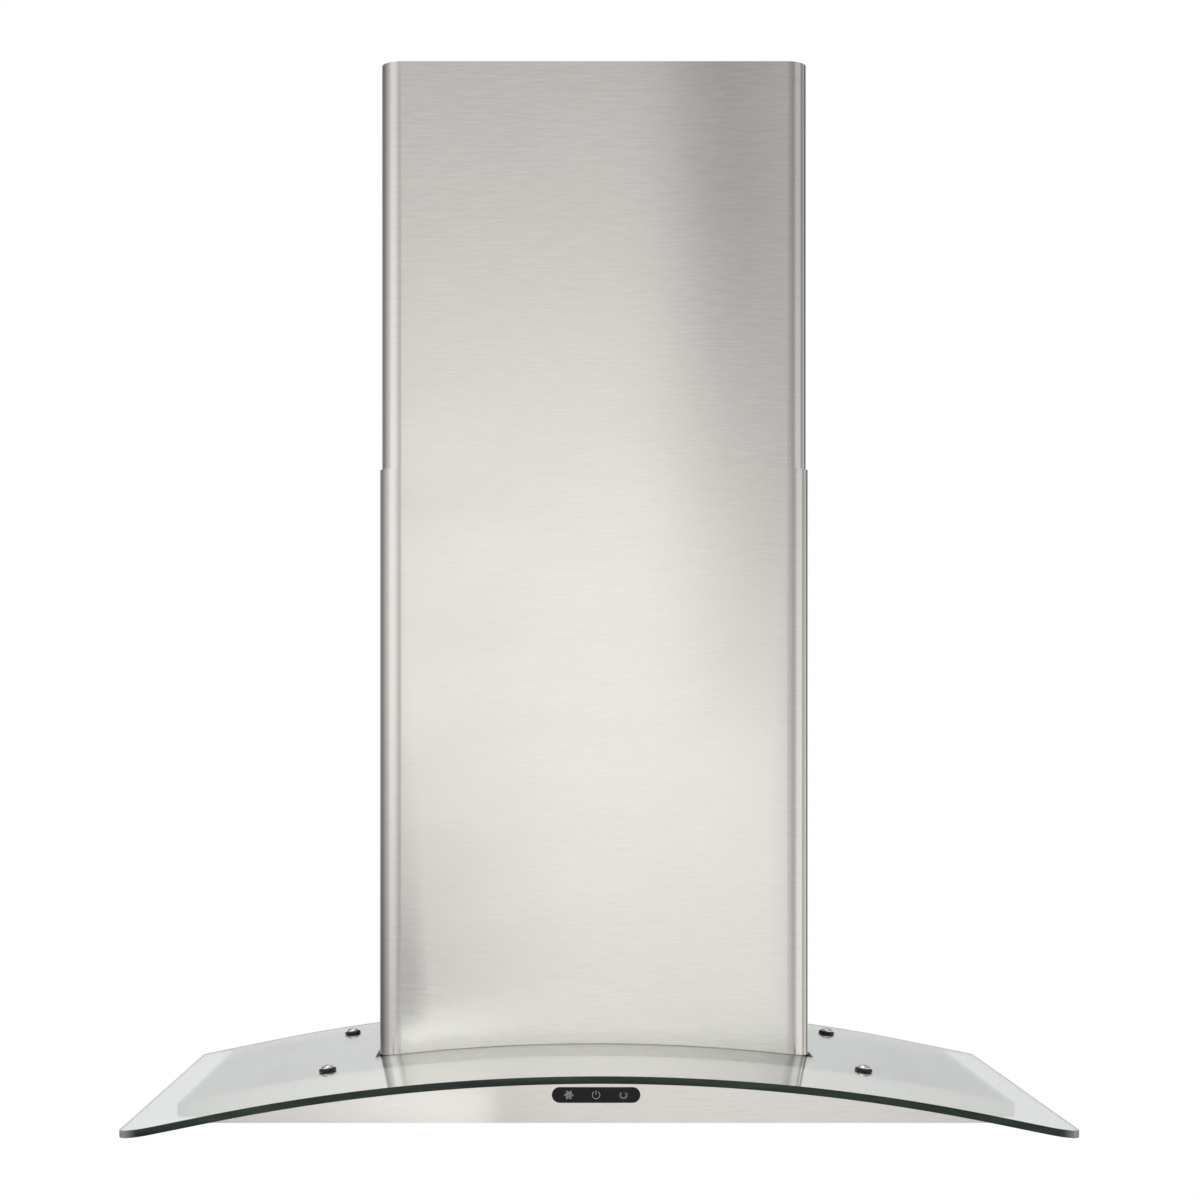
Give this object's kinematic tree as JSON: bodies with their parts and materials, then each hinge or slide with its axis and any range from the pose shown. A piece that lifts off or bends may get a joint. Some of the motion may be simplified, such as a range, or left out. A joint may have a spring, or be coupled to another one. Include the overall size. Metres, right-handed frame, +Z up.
{
  "type": "curved glass wall range hood",
  "caption": "Wall-mounted cooker hood with a bent glass canopy on a slim steel body, a telescopic steel flue, a touch control, tilting grease filters and a ducted blower.",
  "frame": {"origin": "under the middle of the hood, on the plane of the body's flat underside", "axes": "+X across the hood to its right, +Y from the front towards the wall, +Z up the flue"},
  "size_m": [0.76, 0.5, 0.911],
  "materials": {
    "canopy_glass": "polished, ground edge",
    "brushed_stainless": "horizontal brushed grain",
    "galvanised_steel": "zinc coated",
    "zinc_fixings": "zinc plated",
    "bright_screws": "polished",
    "bright_trim": "satin chrome",
    "ground_steel": "ground",
    "aluminium_sheet": "satin",
    "aluminium_mesh": "expanded mesh",
    "black_rubber": "matt",
    "black_touch_plate": "glossy",
    "circuit_board": "solder mask",
    "grey_moulding": "fine matt",
    "cable_sheath": "matt",
    "frosted_glass": "frosted",
    "lamp_ceramic": "glazed",
    "motor_enamel": "semi-gloss"
  },
  "bodies": {
    "hood": {"glass_canopy": "canopy_glass", "glass_sleeves": "black_rubber", "glass_washers": "black_rubber", "glass_screws": "bright_screws", "glass_nuts": "zinc_fixings", "body_shell": "brushed_stainless", "body_back": "brushed_stainless", "bottom_panel": "brushed_stainless", "bottom_panel_screws": "bright_screws", "control_panel": "black_touch_plate", "touch_board": "circuit_board", "lower_flue": "brushed_stainless", "flue_clips": "galvanised_steel", "flue_clip_screws": "bright_screws", "airbox": "galvanised_steel", "airbox_lid": "galvanised_steel", "airbox_lid_screws": "zinc_fixings", "outlet_collar": "galvanised_steel", "outlet_screws": "zinc_fixings", "damper_pin": "zinc_fixings", "scroll_wrap": "galvanised_steel", "scroll_side_left": "galvanised_steel", "scroll_side_right": "galvanised_steel", "motor_body": "motor_enamel", "motor_bracket": "zinc_fixings", "motor_bushes": "black_rubber", "control_box": "galvanised_steel", "control_box_lid": "galvanised_steel", "cable_grommet": "black_rubber", "main_board": "circuit_board", "capacitor": "grey_moulding", "terminal_block": "grey_moulding", "touch_cable": "cable_sheath", "lamp_cables": "cable_sheath", "motor_cable": "cable_sheath", "lamp_bezel_left": "bright_trim", "lamp_can_left": "galvanised_steel", "lamp_lens_left": "frosted_glass", "lamp_bulb_left": "lamp_ceramic", "lamp_bezel_right": "bright_trim", "lamp_can_right": "galvanised_steel", "lamp_lens_right": "frosted_glass", "lamp_bulb_right": "lamp_ceramic"},
    "upper_flue": {"upper_flue": "brushed_stainless", "flue_bracket": "galvanised_steel", "flue_bracket_screws": "bright_screws"},
    "blower": {"blower_wheel": "galvanised_steel", "wheel_rings": "galvanised_steel", "wheel_disc": "galvanised_steel", "motor_shaft": "ground_steel"},
    "damper_front": {"damper_flap_front": "aluminium_sheet"},
    "damper_rear": {"damper_flap_rear": "aluminium_sheet"},
    "filter_left": {"filter_frame_left": "aluminium_sheet", "filter_mesh_left": "aluminium_mesh", "catch_spring_left": "ground_steel"},
    "catch_left": {"filter_catch_left": "grey_moulding"},
    "filter_right": {"filter_frame_right": "aluminium_sheet", "filter_mesh_right": "aluminium_mesh", "catch_spring_right": "ground_steel"},
    "catch_right": {"filter_catch_right": "grey_moulding"}
  },
  "joints": [
    {"name": "flue_extension", "type": "slide", "parent": "hood", "child": "upper_flue", "axis": [0, 0, 1], "range_m": [-0.33, 0.05]},
    {"name": "blower_spin", "type": "hinge", "parent": "hood", "child": "blower", "pos_m": [0, 0.082, 0.175], "axis": [1, 0, 0], "continuous": true},
    {"name": "damper_front_swing", "type": "hinge", "parent": "hood", "child": "damper_front", "pos_m": [0, 0.148, 0.335], "axis": [-1, 0, 0], "range_deg": [0, 78]},
    {"name": "damper_rear_swing", "type": "hinge", "parent": "hood", "child": "damper_rear", "pos_m": [0, 0.148, 0.335], "axis": [1, 0, 0], "range_deg": [0, 78]},
    {"name": "filter_left_tilt", "type": "hinge", "parent": "hood", "child": "filter_left", "pos_m": [-0.159, 0.231, 0.0063], "axis": [1, 0, 0], "range_deg": [0, 60]},
    {"name": "catch_left_slide", "type": "slide", "parent": "filter_left", "child": "catch_left", "axis": [0, 1, 0], "range_m": [0, 0.005], "stiffness_N_per_m": 300, "springref_m": -0.004, "deforming": ["catch_spring_left"]},
    {"name": "filter_right_tilt", "type": "hinge", "parent": "hood", "child": "filter_right", "pos_m": [0.159, 0.231, 0.0063], "axis": [1, 0, 0], "range_deg": [0, 60]},
    {"name": "catch_right_slide", "type": "slide", "parent": "filter_right", "child": "catch_right", "axis": [0, 1, 0], "range_m": [0, 0.005], "stiffness_N_per_m": 300, "springref_m": -0.004, "deforming": ["catch_spring_right"]}
  ]
}
